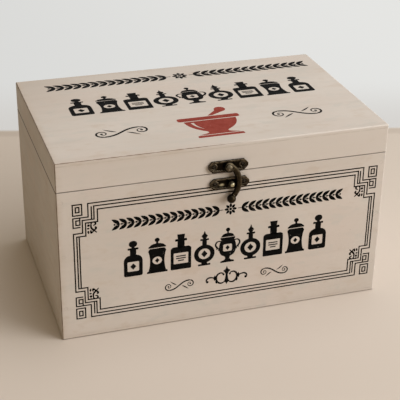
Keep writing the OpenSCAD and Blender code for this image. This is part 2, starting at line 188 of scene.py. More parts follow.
def brushed_paint(tree, point, x, y, z, streaks, bands, mottle):
    """Cloudy greige, rosier and cooler in places, with dull brush streaks along the grain."""
    clouds = noise(tree, point, 60, 3, 0.55, (1.6, 1, 1), (3, 9, 4))
    tint = noise(tree, point, 80, 1, 0.5, (1, 1, 1), (12, 3, 8))
    colour = blend_colours(tree, ramp(tree, clouds, 0.3, 0.7), PAINT, PAINT_PALE)
    colour = blend_colours(tree, ramp(tree, tint, 0.42, 0.7, 0, 0.5), colour, PAINT_ROSE)
    colour = blend_colours(tree, ramp(tree, mottle, 0.52, 0.70, 0, 0.55), colour, PAINT_COOL)
    colour = blend_colours(tree, ramp(tree, mottle, 0.46, 0.30, 0, 0.45), colour, PAINT_TAN)
    colour = blend_colours(tree, ramp(tree, bands, 0.5, 0.8, 0, 0.22), colour, PAINT_DULL_AND_SHADE)
    colour = blend_colours(tree, ramp(tree, streaks, 0.55, 0.8, 0, 0.25), colour, PAINT_DULL_AND_SHADE)
    # the front rail of the lid is a little paler, and the lid top is darkened towards its back left corner
    # as painted shade
    above_seam = ramp(tree, z, SEAM_Z, SEAM_Z + 1, 0, 0.6)
    rail = product(tree, above_seam, ramp(tree, y, FRONT_Y + 0.5, FRONT_Y + 2, 1, 0))
    colour = blend_colours(tree, rail, colour, PAINT_PALE)
    corner = calc(tree, "SUBTRACT", calc(tree, "MULTIPLY", y, 0.8), x)
    corner_shade = product(tree, ramp(tree, corner, 90, 230, 0, 0.95), ramp(tree, z, TOP_Z - 1.5, TOP_Z - 0.5))
    return blend_colours(tree, corner_shade, colour, PAINT_DULL_AND_SHADE)


def board_joints(tree, x, y, z, left):
    """Lines where boards meet under the paint: round both panels, and at the ends of the cross boards."""
    lid_joint = hairline(tree, z, LID_JOINT_Z, 0.5)
    base_joint = product(tree, hairline(tree, z, BASE_JOINT_Z, 0.6), ramp(tree, left, 0, 1, 0.25, 1.6))
    end_joint = product(
        tree, hairline(tree, calc(tree, "ABSOLUTE", y), SIDE_END_Y, 0.35),
        calc(tree, "GREATER_THAN", calc(tree, "ABSOLUTE", x), HALF_W - 0.6),
        calc(tree, "LESS_THAN", z, LID_JOINT_Z),
    )
    return calc(tree, "MAXIMUM", calc(tree, "MAXIMUM", lid_joint, base_joint), end_joint)


def arrises_darkened_and_highlit(tree, point, x, y, z, mottle, colour):
    """Arrises browner at the left, and a thin painted highlight of pale paint on them at the right."""
    edge = edge_distance(tree, x, y, z)
    ragged = noise(tree, point, 2.4, 3, 0.6, (3, 3, 3), (8, 8, 1))
    near = calc(tree, "ADD", edge, calc(tree, "MULTIPLY", ragged, 0.7))
    halo = product(
        tree, ramp(tree, edge, 0, 7, 1, 0), ramp(tree, mottle, 0.4, 0.65, 0.15, 0.7),
        ramp(tree, x, -60, 20, 1, 0),
    )
    colour = blend_colours(tree, halo, colour, PAINT_TAN)
    brown = product(tree, ramp(tree, near, 0.86, 1.18, 1, 0), ramp(tree, x, -30, 40, 0.85, 0))
    colour = blend_colours(tree, brown, colour, WORN_WOOD_AND_SHADE)
    # painted highlight: a thin line of pale paint along the arrises, stronger towards the right
    highlight_breakup = product(tree, ramp(tree, x, HALF_W - 12, HALF_W, 0, 0.5), ramp(tree, ragged, 0.45, 0.65))
    pale = product(
        tree, ramp(tree, calc(tree, "SUBTRACT", near, highlight_breakup), 0.60, 0.92, 1, 0),
        ramp(tree, mottle, 0.40, 0.60, 0.25, 1), ramp(tree, x, -30, HALF_W, 0, 0.68),
    )
    return blend_colours(tree, pale, colour, ARRIS_HIGHLIGHT)


def painted_wood(name, along):
    """Matt brushed paint over softwood, its grain along the axis "X" or "Y"."""
    finish, tree, shader = new_finish(name)
    point, x, y, z = object_point(tree)
    lengthways = along == "X"
    grain = (14, 1, 1) if lengthways else (1, 14, 1)
    streaks = noise(tree, point, 1.7, 3, 0.6, grain)
    bands = noise(tree, point, 8, 2, 0.5, grain, (31, 7, 5))
    mottle = noise(tree, point, 11, 4, 0.6, (2, 1, 1) if lengthways else (1, 2, 1), (4, 44, 14))
    colour = brushed_paint(tree, point, x, y, z, streaks, bands, mottle)
    # small scuffs where the paint is thin
    scuffs = noise(tree, point, 3, 4, 0.7, (4, 4, 1) if lengthways else (1, 4, 1), (5, 2, 40))
    colour = blend_colours(tree, ramp(tree, scuffs, 0.70, 0.80, 0, 0.30), colour, WORN_WOOD_AND_SHADE)
    # joints under the paint of the outer faces, broken here and there
    left = ramp(tree, x, 0.5 - HALF_W, 1 - HALF_W, 1, 0)
    outer_x = calc(tree, "GREATER_THAN", calc(tree, "ABSOLUTE", x), HALF_W - OUTER_SKIN)
    outer_y = calc(tree, "GREATER_THAN", calc(tree, "ABSOLUTE", y), BACK_Y - OUTER_SKIN)
    outer = calc(tree, "MAXIMUM", outer_x, outer_y)
    joints = product(tree, board_joints(tree, x, y, z, left), outer)
    broken = product(
        tree, joints, ramp(tree, noise(tree, point, 9, 2, 0.6), 0.35, 0.65, 0.08, 0.32),
        ramp(tree, z, SEAM_Z - 5, SEAM_Z, 2.0, 0.7),
    )
    colour = blend_colours(tree, broken, colour, WORN_WOOD_AND_SHADE)
    # the lowest edge darkened, a dark edge with painted contact shadow, and painted shade along the seam
    # of the lid
    foot = product(tree, ramp(tree, z, 0.55, 1.05, 0.85, 0), outer)
    colour = blend_colours(tree, foot, colour, WORN_WOOD_AND_SHADE)
    seam = product(
        tree, hairline(tree, z, SEAM_Z, ramp(tree, left, 0, 1, 0.6, 1.15)), outer,
        ramp(tree, left, 0, 1, 0.6, 0.95),
    )
    colour = blend_colours(tree, seam, colour, SEAM_SHADE)
    colour = arrises_darkened_and_highlit(tree, point, x, y, z, mottle, colour)
    # filled brad heads at the corners of the front and back
    from_row = calc(tree, "SUBTRACT", calc(tree, "ABSOLUTE", x), BRAD_X)
    from_brad = calc(tree, "PINGPONG", calc(tree, "SUBTRACT", z, BRAD_LOW_Z), BRAD_STEP / 2)
    away = reach(tree, from_row, from_brad)
    on_face = product(
        tree, ramp(tree, calc(tree, "ABSOLUTE", y), BACK_Y - 1.5, BACK_Y - 1),
        ramp(tree, z, SEAM_Z - 3, SEAM_Z - 2, 1, 0),
    )
    rim = product(tree, hairline(tree, away, 1.4, 0.4), on_face, 0.10)
    colour = blend_colours(tree, rim, colour, WORN_WOOD_AND_SHADE)
    plug(tree, shader.inputs["Base Color"], colour)
    plug(tree, shader.inputs["Roughness"], ramp(tree, bands, 0.3, 0.7, 0.56, 0.68))
    shader.inputs["Specular IOR Level"].default_value = 0.35
    height = calc(tree, "ADD", product(tree, streaks, 0.05), product(tree, bands, 0.05))
    dent = product(tree, ramp(tree, away, 1.1, 1.7, 1, 0), on_face, 0.08)
    height = calc(tree, "SUBTRACT", height, dent)
    height = calc(tree, "SUBTRACT", height, product(tree, joints, 0.08))
    bump = add_node(tree, "ShaderNodeBump", {"Height": height, "Strength": 0.6, "Distance": MM})
    plug(tree, shader.inputs["Normal"], bump.outputs[0])
    return finish


def printed(name, ink, faded, bare_share):
    """Ink with fine flecks where the paint shows through."""
    finish, tree, shader = new_finish(name)
    point = object_point(tree)[0]
    colour = blend_colours(tree, ramp(tree, noise(tree, point, 6, 3, 0.6), 0.35, 0.7), ink, faded)
    flecks = ramp(tree, noise(tree, point, 0.7, 3, 0.7, (3, 3, 3)), 0.66, 0.76, 0, bare_share)
    plug(tree, shader.inputs["Base Color"], blend_colours(tree, flecks, colour, PAINT))
    plug(tree, shader.inputs["Roughness"], ramp(tree, noise(tree, point, 2, 2), 0.3, 0.7, 0.60, 0.72))
    shader.inputs["Specular IOR Level"].default_value = 0.03
    return finish


def plate_wear_and_highlights(tree, x, y, z, patches, mottled, rub_and_highlight_colour):
    """Patina in the field, a worn rim, painted highlight on the upper half and a painted glint by the
    stud.
    """
    proud = ramp(tree, calc(tree, "ABSOLUTE", y), PLATE_FIELD, PLATE_RIM)
    on_lid_plate = calc(tree, "GREATER_THAN", z, SEAM_Z)
    middle = calc(tree, "ADD", STUD.z, calc(tree, "MULTIPLY", on_lid_plate, HOOK_PLATE_Z - STUD.z))
    # the rim worn, and lighter on the upper half as painted highlight
    sheen = product(
        tree, proud, ramp(tree, patches, 0.35, 0.65, 0.04, 0.24),
        ramp(tree, calc(tree, "SUBTRACT", z, middle), -3, 4, 0.12, 1),
    )
    mottled = blend_colours(tree, sheen, mottled, rub_and_highlight_colour)
    mottled = blend_colours(tree, ramp(tree, proud, 0, 1, 0.75, 0), mottled, PATINA_AND_SHADE)
    # painted glint: a small spot of bright brass on the catch plate's field, beside the stud
    across = calc(tree, "DIVIDE", calc(tree, "SUBTRACT", x, PAINTED_GLINT[0]), PAINTED_GLINT[2])
    down = calc(tree, "DIVIDE", calc(tree, "SUBTRACT", z, PAINTED_GLINT[1]), PAINTED_GLINT[3])
    far = calc(tree, "ADD", reach(tree, across, down), calc(tree, "MULTIPLY", patches, 0.8))
    return blend_colours(tree, ramp(tree, far, 0.5, 1.7, 0.85, 0), mottled, HIGHLIGHT_BRASS)


def bow_highlight_and_shade(tree, x, z, patches, mottled, rub_and_highlight_colour):
    """The hook's arm: faint painted highlight outside its bow, near-black painted shade inside it."""
    far = reach(tree, calc(tree, "SUBTRACT", x, BOW_X), calc(tree, "SUBTRACT", z, BOW_Z))
    far = calc(tree, "ADD", far, calc(tree, "MULTIPLY", patches, 1.2))
    # painted highlight along the outside of the bow
    above_ball = calc(tree, "GREATER_THAN", z, STUD.z - 9)
    outside = product(tree, above_ball, ramp(tree, far, BOW_R - 2.6, BOW_R - 0.2, 0.0, 0.12))
    mottled = blend_colours(tree, outside, mottled, rub_and_highlight_colour)
    # painted shade, near black, along the inside of the bow
    return blend_colours(tree, ramp(tree, far, BOW_R - 4.6, BOW_R - 2.4, 0.75, 0), mottled, PATINA_AND_SHADE)


def antique_metal(name, dark, rub_and_highlight_colour, share, rough, wear_and_light=None):
    """Dark bronze, edges lightened as worn metal and painted highlight; marks for plate, bow, rings or
    stud.
    """
    finish, tree, shader = new_finish(name)
    point, x, y, z = object_point(tree)
    rounded = add_node(tree, "ShaderNodeBevel", {"Radius": 0.35 * MM}, samples=6)
    true = add_node(tree, "ShaderNodeNewGeometry").outputs["True Normal"]
    normals = {0: rounded.outputs[0], 1: true}
    facing = add_node(tree, "ShaderNodeVectorMath", normals, operation="DOT_PRODUCT")
    edges = ramp(tree, facing.outputs["Value"], 0.996, 0.88, 0, 1)
    patches = noise(tree, point, 2.2, 4, 0.65)
    # edges lightened: partly worn metal, partly painted highlight
    edge_rub_and_highlight = product(tree, edges, ramp(tree, patches, 0.3, 0.6, 0.25, 1), share)
    lighter = [c * 1.9 for c in dark[:3]] + [1]
    mottled = blend_colours(tree, ramp(tree, patches, 0.35, 0.75), dark, lighter)
    if wear_and_light == "plate":
        mottled = plate_wear_and_highlights(tree, x, y, z, patches, mottled, rub_and_highlight_colour)
    if wear_and_light == "bow":
        mottled = bow_highlight_and_shade(tree, x, z, patches, mottled, rub_and_highlight_colour)
    # painted highlight: bright brass on the crown of the stud
    if wear_and_light == "tip_highlight":
        tip_highlight = ramp(tree, calc(tree, "ABSOLUTE", y), STUD_TIP - 0.65, STUD_TIP - 0.15, 0, 0.75)
        mottled = blend_colours(tree, tip_highlight, mottled, HIGHLIGHT_BRASS)
    colour = blend_colours(tree, edge_rub_and_highlight, mottled, rub_and_highlight_colour)
    height = noise(tree, point, 0.5, 3, 0.6)
    if wear_and_light == "rings":
        far = reach(tree, calc(tree, "SUBTRACT", x, PIVOT.x), calc(tree, "SUBTRACT", z, PIVOT.z))
        wave = calc(tree, "COSINE", calc(tree, "MULTIPLY", far, 2 * math.pi / RING_STEP))
        height = calc(tree, "ADD", height, calc(tree, "MULTIPLY", wave, 0.9))
        colour = blend_colours(tree, ramp(tree, wave, -1, 0.2, 0.75, 0), colour, PATINA_AND_SHADE)
    plug(tree, shader.inputs["Base Color"], colour)
    shader.inputs["Metallic"].default_value = 1.0
    plug(tree, shader.inputs["Roughness"], ramp(tree, patches, 0.3, 0.75, rough, rough + 0.16))
    bump = add_node(tree, "ShaderNodeBump", {"Height": height, "Strength": 0.35, "Distance": 0.08 * MM})
    plug(tree, bump.inputs["Normal"], rounded.outputs[0])
    plug(tree, shader.inputs["Normal"], bump.outputs[0])
    return finish


wood_x = painted_wood("greige_paint_long_grain", "X")
wood_y = painted_wood("greige_paint_side_grain", "Y")
black_ink = printed("black_print", (0.0022, 0.0022, 0.002, 1), (0.006, 0.0055, 0.005, 1), 0.5)
line_ink = printed("brown_black_rules", (0.003, 0.002, 0.0013, 1), (0.008, 0.006, 0.004, 1), 0.30)
red_ink = printed("red_print", (0.245, 0.045, 0.033, 1), (0.290, 0.060, 0.045, 1), 0.4)

plate_bronze = antique_metal(
    "bronzed_latch_plate", (0.014, 0.009, 0.005, 1), (0.40, 0.31, 0.20, 1), 0.55, 0.32, "plate")
hook_bronze = antique_metal(
    "bronzed_cast_hook", (0.018, 0.013, 0.007, 1), (0.44, 0.34, 0.21, 1), 0.8, 0.28, "bow")
rivet_bronze = antique_metal(
    "ringed_rivet_bronze", (0.105, 0.082, 0.053, 1), (0.50, 0.42, 0.30, 1), 0.8, 0.30, "rings")
hinge_bronze = antique_metal(
    "bronzed_hinge", (0.045, 0.033, 0.021, 1), (0.36, 0.28, 0.18, 1), 0.8, 0.34)
stud_bronze = antique_metal(
    "stud_bronze_with_painted_highlight", (0.022, 0.017, 0.010, 1), (0.60, 0.52, 0.36, 1), 0.5, 0.14, "tip_highlight")
pin_bronze = antique_metal(
    "hinge_pin_bronze", (0.050, 0.040, 0.024, 1), (0.60, 0.52, 0.36, 1), 0.7, 0.22)
screw_metal = antique_metal(
    "bronzed_screws", (0.013, 0.010, 0.007, 1), (0.20, 0.15, 0.10, 1), 0.45, 0.36)

CAD_FINISH = {
    wood_x: [
        "front_board", "back_board", "base_panel", "lid_panel", "lid_front_rail", "lid_back_rail",
        "body_brads", "lid_brads",
    ],
    wood_y: ["left_board", "right_board", "lid_left_rail", "lid_right_rail"],
    plate_bronze: ["hook_plate", "catch_plate"],
    hook_bronze: ["latch_hook"],
    hinge_bronze: [
        "left_hinge_body_leaf", "left_hinge_lid_leaf", "right_hinge_body_leaf", "right_hinge_lid_leaf",
    ],
    rivet_bronze: ["hook_rivet"],
    stud_bronze: ["catch_stud"],
    pin_bronze: ["left_hinge_pin", "right_hinge_pin"],
    screw_metal: ["hook_plate_screws", "catch_plate_screws", "hinge_body_screws", "hinge_lid_screws"],
}
for finish, nodes in CAD_FINISH.items():
    for node in nodes:
        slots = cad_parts[node].data.materials
        slots.clear()
        slots.append(finish)


# Drawing in the plane of a face: a shape is a list of closed loops, the outer one first and then its holes

def arc(u, v, r, start, stop, count=24):
    """Points of an arc, or of a spiral where r is (first radius, last radius), angles in degrees."""
    first, last = r if isinstance(r, tuple) else (r, r)
    made = []
    for i in range(count + 1):
        t = i / count
        turn = math.radians(start + (stop - start) * t)
        reach = first + (last - first) * t
        made.append((u + reach * math.cos(turn), v + reach * math.sin(turn)))
    return made


def curve(a, b, c, d, count=16):
    """Points of a cubic curve from a to d."""
    made = []
    for i in range(count + 1):
        t = i / count
        s = 1 - t
        k = (s * s * s, 3 * s * s * t, 3 * s * t * t, t * t * t)
        made.append(tuple(sum(k[j] * p[axis] for j, p in enumerate((a, b, c, d))) for axis in (0, 1)))
    return made


def through(*points, count=6):
    """A smooth curve that passes through every point."""
    made = []
    for i in range(len(points) - 1):
        a, b = points[i], points[i + 1]
        before = points[max(i - 1, 0)]
        after = points[min(i + 2, len(points) - 1)]
        ra = (a[0] + (b[0] - before[0]) / 6, a[1] + (b[1] - before[1]) / 6)
        rb = (b[0] - (after[0] - a[0]) / 6, b[1] - (after[1] - a[1]) / 6)
        made += curve(a, ra, rb, b, count)[:-1]
    return made + [points[-1]]


def chain(*parts):
    """Runs of points joined end to end, without doubled points."""
    made = []
    for part in parts:
        for p in part:
            if not made or math.dist(made[-1], p) > 0.02:
                made.append(p)
    return made


def pointed(upper, lower):
    """A closed pointed shape between two curves, each given by four points."""
    return chain(curve(*upper), curve(*lower))[:-1]


def both_halves(right):
    """A closed outline from its right half."""
    return right + [(-u, v) for u, v in reversed(right)]


def disc(u, v, r, count=20):
    return [arc(u, v, r, 0, 360 * (count - 1) / count, count - 1)]


def block(u0, v0, u1, v1, low_r=0.0, high_r=0.0):
    """A rectangle with rounded lower and upper corners."""
    loop = []
    corners = ((u0, v0, low_r, 180), (u1, v0, low_r, 270), (u1, v1, high_r, 0), (u0, v1, high_r, 90))
    for u, v, r, start in corners:
        if r == 0:
            loop.append((u, v))
        else:
            cu = u + r if u == u0 else u - r
            cv = v + r if v == v0 else v - r
            loop += arc(cu, cv, r, start, start + 90, 6)
    return loop


def sides(points, width, closed):
    """Points left and right of a line, mitred at its corners."""
    left, right = [], []
    count = len(points)
    for i, p in enumerate(points):
        before = points[(i - 1) % count] if closed or i > 0 else p
        after = points[(i + 1) % count] if closed or i < count - 1 else p
        runs = [
            (Vector(b) - Vector(a)).normalized()
            for a, b in ((before, p), (p, after)) if math.dist(a, b) > 1e-6
        ]
        along = sum(runs, Vector((0, 0))).normalized()
        half = (width(i / (count - 1)) if callable(width) else width) / 2
        half /= max(0.5, abs(along.dot(runs[0])))
        left.append((p[0] - along.y * half, p[1] + along.x * half))
        right.append((p[0] + along.y * half, p[1] - along.x * half))
    return left, right


def stroke(points, width):
    """An open line of that width, which may be a function of the share of its length."""
    left, right = sides(points, width, False)
    return [left + right[::-1]]


def ring(points, width):
    """A closed line of that width."""
    left, right = sides(points, width, True)
    return [right, left]


def swelling(thin, thick):
    return lambda t: thin + (thick - thin) * math.sin(math.pi * t) ** 1.5


def changed(shapes, change):
    return [[[change(u, v) for u, v in loop] for loop in loops] for loops in shapes]


def mirrored(shapes, u0):
    return changed(shapes, lambda u, v: (2 * u0 - u, v))


def with_mirror(shapes, u0):
    return shapes + mirrored(shapes, u0)


def placed(shapes, u0, v0, ku=1.0, kv=None, turn=0.0):
    kv = ku if kv is None else kv
    c, s = math.cos(math.radians(turn)), math.sin(math.radians(turn))
    return changed(shapes, lambda u, v: (u0 + ku * (u * c - v * s), v0 + kv * (u * s + v * c)))


# Printed pieces

INK_T = 0.05
INK_SUNK = 0.05
INK_STEP = 0.004


def on_front(u, v, out):
    return Vector((u, FRONT_Y - out, v))


def on_lid(u, v, out):
    return Vector((u, v, TOP_Z + out))


def plain_mesh(name, points, faces):
    """A mesh from points in millimetres, its faces turned outwards."""
    mesh = bpy.data.meshes.new(name)
    mesh.from_pydata([p * MM for p in points], [], faces)
    work = bmesh.new()
    work.from_mesh(mesh)
    bmesh.ops.recalc_face_normals(work, faces=work.faces)
    work.to_mesh(mesh)
    work.free()
    made = bpy.data.objects.new(name, mesh)
    bpy.context.scene.collection.objects.link(made)
    return made


def print_mesh(name, at, shapes):
    """Each shape as a thin closed solid that stands a little out of the face."""
    points, faces = [], []
    for number, loops in enumerate(shapes):
        out = INK_T + INK_STEP * (number % 4)
        flat = [p for loop in loops for p in loop]
        first, count = len(points), len(flat)
        points += [at(u, v, out) for u, v in flat]
        points += [at(u, v, -INK_SUNK) for u, v in flat]
        for tri in tessellate_polygon([[Vector((u, v, 0)) for u, v in loop] for loop in loops]):
            faces.append([first + i for i in tri])
            faces.append([first + count + i for i in reversed(tri)])
        start = first
        for loop in loops:
            for i in range(len(loop)):
                a, b = start + i, start + (i + 1) % len(loop)
                faces.append([a, b, b + count, a + count])
            start += len(loop)
    return plain_mesh(name, points, faces)


def print_on(name, at, body, shapes, finish):
    made = print_mesh(name, at, shapes)
    made.data.materials.append(finish)
    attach(made, body)
    return made


def row_tree():
    """Copies of a motif in a row; the inputs are the motif, their number, the first place and the step."""
    tree = bpy.data.node_groups.new("row_of_motifs", "GeometryNodeTree")
    face = tree.interface
    names = {}
    for label, kind in (
        ("Motif", "NodeSocketObject"), ("Count", "NodeSocketInt"), ("First place", "NodeSocketVector"),
        ("Step", "NodeSocketVector"), ("Finish", "NodeSocketMaterial"),
    ):
        names[label] = face.new_socket(label, in_out="INPUT", socket_type=kind).identifier
    face.new_socket("Row", in_out="OUTPUT", socket_type="NodeSocketGeometry")
    start = add_node(tree, "NodeGroupInput")
    line = add_node(tree, "GeometryNodeMeshLine", mode="OFFSET")
    motif = add_node(tree, "GeometryNodeObjectInfo", transform_space="ORIGINAL")
    copies = add_node(tree, "GeometryNodeInstanceOnPoints")
    real = add_node(tree, "GeometryNodeRealizeInstances")
    coat = add_node(tree, "GeometryNodeSetMaterial")
    end = add_node(tree, "NodeGroupOutput")
    for a, b in (
        (start.outputs["Motif"], motif.inputs["Object"]),
        (start.outputs["Count"], line.inputs["Count"]),
        (start.outputs["First place"], line.inputs["Start Location"]),
        (start.outputs["Step"], line.inputs["Offset"]),
        (line.outputs["Mesh"], copies.inputs["Points"]),
        (motif.outputs["Geometry"], copies.inputs["Instance"]),
        (copies.outputs["Instances"], real.inputs["Geometry"]),
        (real.outputs["Geometry"], coat.inputs["Geometry"]),
        (start.outputs["Finish"], coat.inputs["Material"]),
        (coat.outputs["Geometry"], end.inputs["Row"]),
    ):
        tree.links.new(a, b)
    return tree, names


ROW_TREE, ROW_INPUTS = row_tree()


def print_row(name, at, body, shapes, count, first, step, finish):
    """A row of one motif, drawn about its own centre and repeated from first by step."""
    origin = at(0, 0, 0)
    motif = print_mesh(name + "_motif", lambda u, v, out: at(u, v, out) - origin, shapes)
    holder = bpy.data.objects.new(name, bpy.data.meshes.new(name + "_start"))
    bpy.context.scene.collection.objects.link(holder)
    modifier = holder.modifiers.new("row", "NODES")
    modifier.node_group = ROW_TREE
    values = {
        "Motif": motif, "Count": count, "First place": at(*first, 0) * MM,
        "Step": (at(*step, 0) - origin) * MM, "Finish": finish,
    }
    for label, value in values.items():
        modifier[ROW_INPUTS[label]] = value
    bpy.context.view_layer.update()
    graph = bpy.context.evaluated_depsgraph_get()
    mesh = bpy.data.meshes.new_from_object(holder.evaluated_get(graph))
    holder.modifiers.remove(modifier)
    holder.data = mesh
    bpy.data.objects.remove(motif)
    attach(holder, body)
    return holder


# Border of the front: three rules that step round a fret in each corner, with a sprig

BORDER_CENTRE = (2.6, 70.8)
BORDER_HALF = (130.0, 52.3)
RULE_W = 1.07


def border_corner():
    """One corner, measured inwards and downwards from the border's outer corner."""
    mid_u, mid_v = BORDER_HALF
    rules = [
        [(mid_u, 0), (12.2, 0), (12.2, 11.8), (0, 11.8), (0, 20.2), (5.9, 20.2)],
        [(mid_u, 2.8), (16.9, 2.8), (16.9, 14.3), (7.4, 14.3), (7.4, 25.6), (0, 25.6), (0, mid_v)],
        [(mid_u, 5.9), (19.7, 5.9), (19.7, 16.9), (9.9, 16.9), (9.9, 28.5), (2.5, 28.5), (2.5, mid_v)],
        [(14.9, 2.8), (14.9, 14.3)],
        [(4.5, 28.5), (4.5, mid_v)],
        [(5.5, 11.8), (5.5, 14.4)],
    ]
    shapes = [stroke(points, RULE_W) for points in rules]
    shapes.append(ring([(0, 0), (7.3, 0), (7.3, 9.5), (0, 9.5)], RULE_W))
    shapes.append(ring([(2.3, 2.4), (5.1, 2.4), (5.1, 6.8), (2.3, 6.8)], RULE_W))
    shapes.append(ring([(2.3, 14.1), (5.5, 14.1), (5.5, 18.0), (2.3, 18.0)], RULE_W))
    return shapes


def corner_sprig():
    """A small curled sprig with buds, under the fret."""
    stem = through((14.5, 17.0), (14.2, 19.4), (14.4, 21.8), (15.7, 23.5), (17.0, 24.7), (18.8, 26.6))
    curl = through((14.7, 17.0), (16.6, 16.9), (17.9, 17.8), (17.6, 19.3), (15.9, 20.0))
    shapes = [
        stroke(stem, swelling(0.8, 1.6)),
        stroke(curl, swelling(0.8, 1.5)),
        stroke(through((16.5, 24.3), (17.8, 23.3), (18.2, 22.0), (17.2, 21.3)), swelling(0.9, 1.8)),
        stroke(through((14.2, 23.9), (13.9, 25.4), (14.8, 26.2), (16.3, 24.7)), swelling(0.9, 1.5)),
        stroke([(11.2, 20.0), (12.2, 19.6), (13.1, 18.8)], swelling(1.0, 2.4)),
        stroke([(10.9, 22.2), (11.9, 22.2), (12.9, 22.3)], swelling(0.8, 1.6)),
        stroke([(11.9, 24.2), (11.9, 25.5), (12.2, 26.9)], swelling(0.8, 1.7)),
        disc(12.2, 17.2, 0.75, 12),
        disc(14.6, 17.3, 0.95, 12),
        disc(16.4, 24.3, 1.1, 12),
        disc(14.4, 26.0, 1.1, 12),
    ]
    return shapes


def border():
    u0, v0 = BORDER_CENTRE
    half_u, half_v = BORDER_HALF
    corner = border_corner() + corner_sprig()
    shapes = []
    for su in (-1, 1):
        for sv in (-1, 1):
            shapes += changed(corner, lambda a, b: (u0 + su * (half_u - a), v0 + sv * (half_v - b)))
    return shapes


# Scrolled ornament under the middle of the front

def fleuron():
    """Two facing scrolls about a lily, with knots and curled tails: drawn about the middle of its foot."""
    left = [
        stroke(through(
            (-2.3, 9.2), (-4.0, 10.6), (-6.2, 10.9), (-8.4, 9.6), (-9.5, 7.0), (-9.0, 3.8), (-7.0, 1.5),
            (-4.6, 0.9), (-2.6, 1.7), (-1.4, 3.2),
        ), swelling(0.9, 1.75)),
        disc(-2.9, 9.2, 0.95),
        stroke(through(
            (-11.4, 7.0), (-13.4, 7.6), (-15.8, 7.8), (-17.8, 6.9), (-18.6, 5.2), (-18.0, 3.9),
        ), swelling(0.9, 1.5)),
        disc(-17.6, 3.9, 1.15),
        [[(-9.3, 6.9), (-10.9, 9.5), (-11.6, 8.1), (-13.0, 7.4), (-11.8, 6.0), (-11.2, 4.0), (-9.6, 5.8)]],
        stroke(through((-8.8, 1.2), (-9.6, 2.4), (-9.9, 4.2)), swelling(0.6, 1.2)),
    ]
    lily = [[
        (0, 17.2), (0.7, 15.0), (1.5, 13.9), (3.4, 12.6), (1.9, 11.2), (1.15, 9.8), (1.0, 8.0),
        (1.4, 5.2), (2.2, 2.2), (1.3, 1.2), (0.6, 0.6), (0, -1.0),
    ]]
    lily[0] += [(-u, v) for u, v in reversed(lily[0][1:-1])]
    return with_mirror(left, 0) + [lily]


# Vessels in a row: drawn on their feet, within 33 mm of height

def lozenge(u, v, half_u, half_v):
    return [[(u - half_u, v), (u, v - half_v), (u + half_u, v), (u, v + half_v)]]


def stoppered_bottle():
    return [
        [block(-6.8, 0, 6.8, 20, 1.6, 5.6), block(-4.2, 4.6, 4.2, 13.6, 0.8, 0.8)],
        lozenge(0, 9.1, 2.2, 2.9),
        [block(-2.2, 19, 2.2, 25)],
        [block(-3.9, 24.6, 3.9, 26.4, 0.5, 0.5)],
        [block(-1.2, 26, 1.2, 28)],
        disc(0, 30, 3.0, 28),
    ]


def waisted_jar():
    waist = curve((6.6, 2.2), (5.0, 8), (5.0, 15), (6.8, 20.6))
    body = both_halves(chain([(7.8, 0), (7.8, 1.6)], waist, [(6.2, 22.2), (5.4, 23)]))
    crown = curve((5.6, 25.4), (4.4, 28.4), (-4.4, 28.4), (-5.6, 25.4))
    cover = chain([(-6.6, 23.6), (6.6, 23.6), (6.4, 25)], crown, [(-6.4, 25)])
    return [
        [body, arc(0, 11.6, 3.6, 0, 345, 23)],
        lozenge(0, 11.6, 1.7, 2.3),
        [cover],
        [block(-0.8, 27, 0.8, 29.4)],
        disc(0, 30.8, 1.9, 20),
    ]


def square_bottle():
    return [
        [block(-7.6, 0, 7.6, 21.4, 0.9, 2.6), block(-5.4, 5.4, 5.4, 15.6, 0.6, 0.6)],
        stroke([(-3.6, 12.6), (3.6, 12.6)], 1.0),
        stroke([(-3.6, 10.5), (3.6, 10.5)], 1.0),
        stroke([(-2.2, 8.4), (2.2, 8.4)], 1.0),
        [block(-2.6, 20.6, 2.6, 27)],
        [block(-4.4, 26.6, 4.4, 28.8, 0.4, 0.9)],
        [[(-2.3, 28.4), (2.3, 28.4), (2.9, 33), (-2.9, 33)]],
    ]


def globe_bottle():
    return [
        [block(-5.2, 0, 5.2, 1.7, 0.5, 0.5)],
        [block(-2.4, 1.2, 2.4, 3.4)],
        [arc(0, 11.2, 8.6, 0, 350, 35), arc(0, 11.2, 5.0, 0, 345, 23)],
        lozenge(0, 11.2, 2.6, 3.4),
        [block(-1.9, 19, 1.9, 24.4)],
        [block(-3.6, 23.8, 3.6, 25.5, 0.5, 0.5)],
        [[(-1.0, 25.2), (1.0, 25.2), (2.6, 28.2), (0.9, 30.2), (0, 33), (-0.9, 30.2), (-2.6, 28.2)]],
    ]


def handled_urn():
    foot = curve((3.2, 2.2), (1.6, 3.4), (1.6, 4.6), (2.6, 5.8))
    belly = curve((5.4, 7.4), (8.2, 11), (8.2, 17), (5.6, 21.6))
    body = both_halves(chain([(6.0, 0), (6.0, 1.4)], foot, belly, [(6.4, 22.6), (6.4, 23.8)]))
    crown = curve((5.2, 25.6), (3.6, 28.6), (-3.6, 28.6), (-5.2, 25.6))
    cover = chain([(-5.9, 24.3), (5.9, 24.3)], crown)
    ear = chain(arc(7.4, 18.2, (2.6, 3.4), 120, -60, 20), arc(8.6, 13.2, 1.1, 60, 250, 10))
    return with_mirror([stroke(ear, swelling(0.9, 1.5))], 0) + [
        [body, block(-3.9, 10.6, 3.9, 17.4, 1.4, 1.4)],
        lozenge(0, 14, 1.9, 2.3),
        [cover],
        [block(-0.7, 27, 0.7, 29.6)],
        disc(0, 31, 1.8, 20),
    ]


